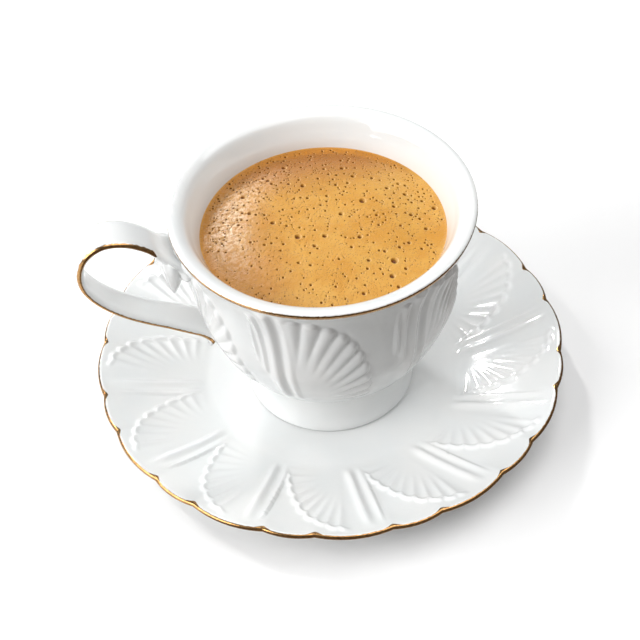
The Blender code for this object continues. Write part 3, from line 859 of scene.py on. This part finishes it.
EYE = Vector((66.92, 314.82, 371.43)) * MM
LOOK = Vector((-0.1426, -0.6709, -0.7277)).normalized()
ROLL = math.radians(-3.41)
LENS = 83.31
SHIFT = (-0.0127, -0.0081)
ROOM_COLOUR = (0.97, 0.985, 1.0, 1.0)
ROOM_STRENGTH = 0.18
# name, place, target, width and height, watts, spread
SET_MIDDLE = (0.0, 0.0, 0.05)
LIGHTS = (
    ("window", (0.18, -1.28, 1.01), SET_MIDDLE, (0.05, 0.24), 7.0, 180.0),
    ("side_window", (1.36, 0.30, 0.80), SET_MIDDLE, (1.3, 0.9), 23.5, 180.0),
    ("overhead", (-0.30, 0.16, 1.15), SET_MIDDLE, (1.3, 1.1), 10.9, 180.0),
    ("gridded", (0.46, -0.36, 0.55), (0.085, -0.07, 0.02), (0.2, 0.2), 0.065, 24.0))
# dark cloth round the camera's side: angles in degrees, lengths in millimetres
FLAG_START = 38.0
FLAG_SWEEP = 167.0
FLAG_NEAR = 80.0
FLAG_DEPTH = 260.0
FLAG_LIFT = 0.3
FLAG_RISE = 90.0


def soft_light(name, place, target, size, power, spread):
    """A rectangular light at place, facing target, with its beam's spread in degrees."""
    light = bpy.data.lights.new(name, "AREA")
    light.shape = "RECTANGLE"
    light.size, light.size_y = size
    light.energy = power
    light.spread = math.radians(spread)
    item = bpy.data.objects.new(name, light)
    bpy.context.scene.collection.objects.link(item)
    item.location = place
    item.rotation_euler = (Vector(target) - Vector(place)).to_track_quat("-Z", "Y").to_euler()


class TEACUP_OT_stage(bpy.types.Operator):
    """Make the pale floor, the soft studio lights and the camera"""
    bl_idname = "teacup.stage"
    bl_label = "Stage"

    def execute(self, context):
        scene = context.scene
        bm = bmesh.new()
        bmesh.ops.create_grid(bm, x_segments=8, y_segments=8, size=4.0)
        floor = bpy.data.objects.new("floor", new_mesh("floor", bm))
        scene.collection.objects.link(floor)
        graph = Graph("pale_floor")
        tone = graph.mix(graph.noise(graph.place(), 3.0), (0.90, 0.90, 0.90), (0.93, 0.93, 0.93))
        floor.data.materials.append(graph.finish(Base_Color=tone, Roughness=0.6))
        floor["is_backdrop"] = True

        scene.view_settings.view_transform = "Standard"
        world = bpy.data.worlds.new("studio")
        world.use_nodes = True
        back = world.node_tree.nodes["Background"]
        back.inputs["Color"].default_value = ROOM_COLOUR
        back.inputs["Strength"].default_value = ROOM_STRENGTH
        scene.world = world
        for light in LIGHTS:
            soft_light(*light)

        bm = bmesh.new()
        bmesh.ops.create_grid(bm, x_segments=24, y_segments=6, size=0.5)
        for vertex in bm.verts:
            turn = math.radians(FLAG_START + FLAG_SWEEP * (vertex.co.x + 0.5))
            outward = vertex.co.y + 0.5
            reach = (FLAG_NEAR + FLAG_DEPTH * min(outward / 0.7, 1.0)) * MM
            rise = (FLAG_LIFT + FLAG_RISE * max(outward - 0.5, 0.0) / 0.5) * MM
            vertex.co = (reach * math.cos(turn), reach * math.sin(turn), rise)
        bmesh.ops.reverse_faces(bm, faces=bm.faces)
        flag = bpy.data.objects.new("dark_flag", new_mesh("dark_flag", bm))
        scene.collection.objects.link(flag)
        graph = Graph("flag_cloth")
        weave = graph.noise(graph.place(), 40.0)
        tone = graph.mix(weave, (0.10, 0.080, 0.068), (0.14, 0.118, 0.10))
        cloth = graph.finish(Base_Color=tone, Roughness=0.9)
        through = graph.node("ShaderNodeBsdfTransparent")
        below = graph.node("ShaderNodeNewGeometry", output="Backfacing")
        front = Port(graph, graph.shader.outputs[0])
        oneway = graph.node("ShaderNodeMixShader", {}, {0: below, 1: front, 2: through})
        graph.feed(graph.tree.nodes["Material Output"].inputs["Surface"], oneway)
        flag.data.materials.append(cloth)
        flag.visible_camera = False
        flag.visible_shadow = False
        flag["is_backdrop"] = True

        camera = bpy.data.cameras.new("camera")
        camera.lens = LENS
        camera.sensor_width = 36.0
        camera.shift_x, camera.shift_y = SHIFT
        camera.clip_start = 0.01
        item = bpy.data.objects.new("camera", camera)
        scene.collection.objects.link(item)
        right = LOOK.cross(Vector((0.0, 0.0, 1.0))).normalized()
        up = right.cross(LOOK).normalized()
        turned_right = math.cos(ROLL) * right + math.sin(ROLL) * up
        turned_up = -math.sin(ROLL) * right + math.cos(ROLL) * up
        axes = Matrix((turned_right, turned_up, -LOOK)).transposed()
        item.matrix_world = Matrix.Translation(EYE) @ axes.to_4x4()
        scene.camera = item
        return {"FINISHED"}


class TEACUP_PT_panel(bpy.types.Panel):
    """Sizes, colours and pieces of the tea cup"""
    bl_label = "Tea Cup"
    bl_idname = "TEACUP_PT_panel"
    bl_space_type = "VIEW_3D"
    bl_region_type = "UI"
    bl_category = "Tea Cup"

    def draw(self, context):
        for title, group, operators in PIECES:
            box = self.layout.box()
            box.label(text=title)
            settings = getattr(context.scene, group, None)
            if settings is not None:
                for key in settings.bl_rna.properties.keys():
                    if key not in ("rna_type", "name"):
                        box.prop(settings, key)
            for name in operators:
                box.operator(name)


PIECES = (
    ("Saucer", "teacup_saucer", ("teacup.saucer",)),
    ("Cup", "teacup_cup", ("teacup.body", "teacup.handle")),
    ("Drink", "teacup_drink", ("teacup.milk_tea",)),
    ("Finish", "teacup_finish", ()),
    ("Studio", "", ("teacup.stage",)),
)
GROUPS = (("teacup_saucer", SaucerSettings), ("teacup_cup", CupSettings),
          ("teacup_drink", DrinkSettings), ("teacup_finish", FinishSettings))
CLASSES = (SaucerSettings, CupSettings, DrinkSettings, FinishSettings, TEACUP_OT_saucer,
           TEACUP_OT_body, TEACUP_OT_handle, TEACUP_OT_milk_tea, TEACUP_OT_stage, TEACUP_PT_panel)


def register():
    for item in CLASSES:
        bpy.utils.register_class(item)
    for name, group in GROUPS:
        setattr(bpy.types.Scene, name, PointerProperty(type=group))


def unregister():
    for name, group in GROUPS:
        delattr(bpy.types.Scene, name)
    for item in reversed(CLASSES):
        bpy.utils.unregister_class(item)


def corners(box):
    return [[float(value) for value in corner] for corner in box]


def main():
    before = corners(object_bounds())
    register()
    for title, group, operators in PIECES:
        for name in operators:
            space, call = name.split(".")
            getattr(getattr(bpy.ops, space), call)()
    sizes = {"cad": before, "visual": corners(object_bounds())}


if __name__ == "__main__":
    main()
